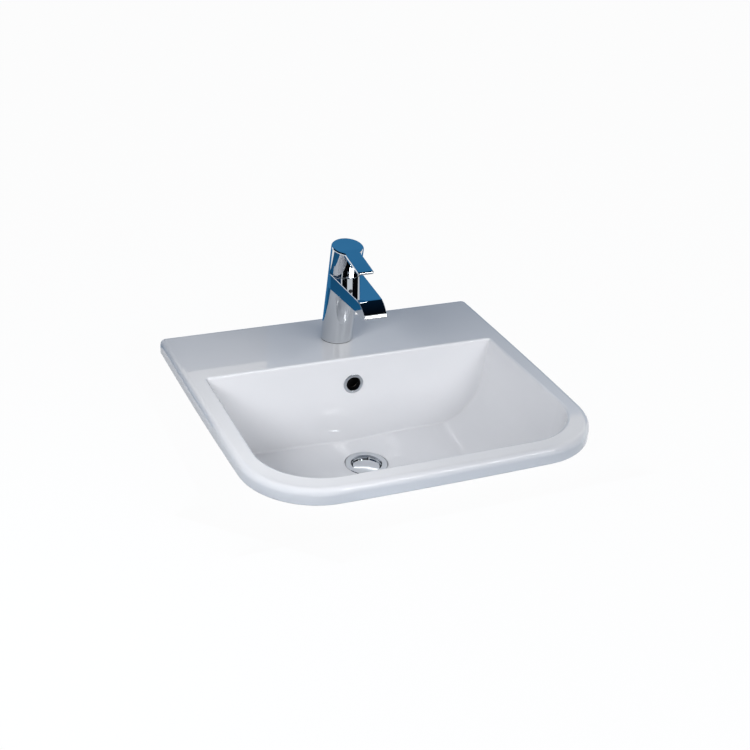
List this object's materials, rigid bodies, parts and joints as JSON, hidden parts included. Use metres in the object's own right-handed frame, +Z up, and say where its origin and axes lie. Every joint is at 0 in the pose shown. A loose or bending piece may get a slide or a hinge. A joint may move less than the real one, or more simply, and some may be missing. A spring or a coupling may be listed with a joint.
{
  "type": "inset basin",
  "caption": "Inset washbasin in glazed china with a tap deck, a leaning lever mixer tap, an overflow and a click waste; the lever swivels and lifts, and the waste plug rises.",
  "frame": {"origin": "middle of the worktop cut-out, on the worktop's surface, where the rim's foot stands", "axes": "+X to the right, along the rim's width; +Y to the back, from the bowl to the tap deck; +Z up"},
  "size_m": [0.5, 0.4614, 0.3803],
  "materials": {
    "glazed_china": "clear gloss glaze on white vitreous china",
    "chrome": "bright chrome plate",
    "brass": "machined",
    "steel": "zinc plated and stainless",
    "rubber": "matt black",
    "pale_plastic": "moulded acetal",
    "dark_plastic": "moulded",
    "disc_ceramic": "lapped alumina"
  },
  "bodies": {
    "basin": {"aerator_housing": "chrome", "aerator_insert": "pale_plastic", "aerator_washer": "rubber", "backnut": "dark_plastic", "basin": "glazed_china", "cartridge_base": "pale_plastic", "cartridge_housing": "pale_plastic", "cartridge_nut": "brass", "cartridge_seal": "rubber", "click_housing": "pale_plastic", "click_spring": "steel", "dome_cover": "chrome", "fixed_disc": "disc_ceramic", "flange_seal": "rubber", "horseshoe_plate": "steel", "horseshoe_rubber": "rubber", "lower_seal": "rubber", "overflow_ring": "chrome", "stud_nut": "brass", "tap_body": "chrome", "tap_gasket": "rubber", "tap_stud": "steel", "waste_body": "chrome"},
    "lever_turret": {"turret": "pale_plastic", "pivot_pin": "steel"},
    "lever": {"handle": "chrome", "spindle": "steel", "grub_screw": "steel", "index_plug": "dark_plastic"},
    "ceramic_slide": {"moving_disc": "disc_ceramic", "disc_carrier": "pale_plastic"},
    "plug": {"waste_plug": "chrome", "plug_seal": "rubber", "click_stem": "steel"}
  },
  "joints": [
    {"name": "handle_swivel", "type": "hinge", "parent": "basin", "child": "lever_turret", "pos_m": [0, 0.13736, 0.14275], "axis": [0, -0.1685, 0.9857], "range_deg": [-50, 50]},
    {"name": "handle_lift", "type": "hinge", "parent": "lever_turret", "child": "lever", "pos_m": [0, 0.13736, 0.14275], "axis": [-1, 0, 0], "range_deg": [0, 20]},
    {"name": "disc_slide", "type": "slide", "parent": "lever_turret", "child": "ceramic_slide", "axis": [0, -0.9857, -0.1685], "range_m": [0, 0.0043]},
    {"name": "plug_lift", "type": "slide", "parent": "basin", "child": "plug", "axis": [0, 0, 1], "range_m": [0, 0.008], "deforming": ["click_spring"]}
  ],
  "couplings": [
    {"joint": "disc_slide", "follows": "handle_lift", "m_per_rad": 0.012248}
  ]
}
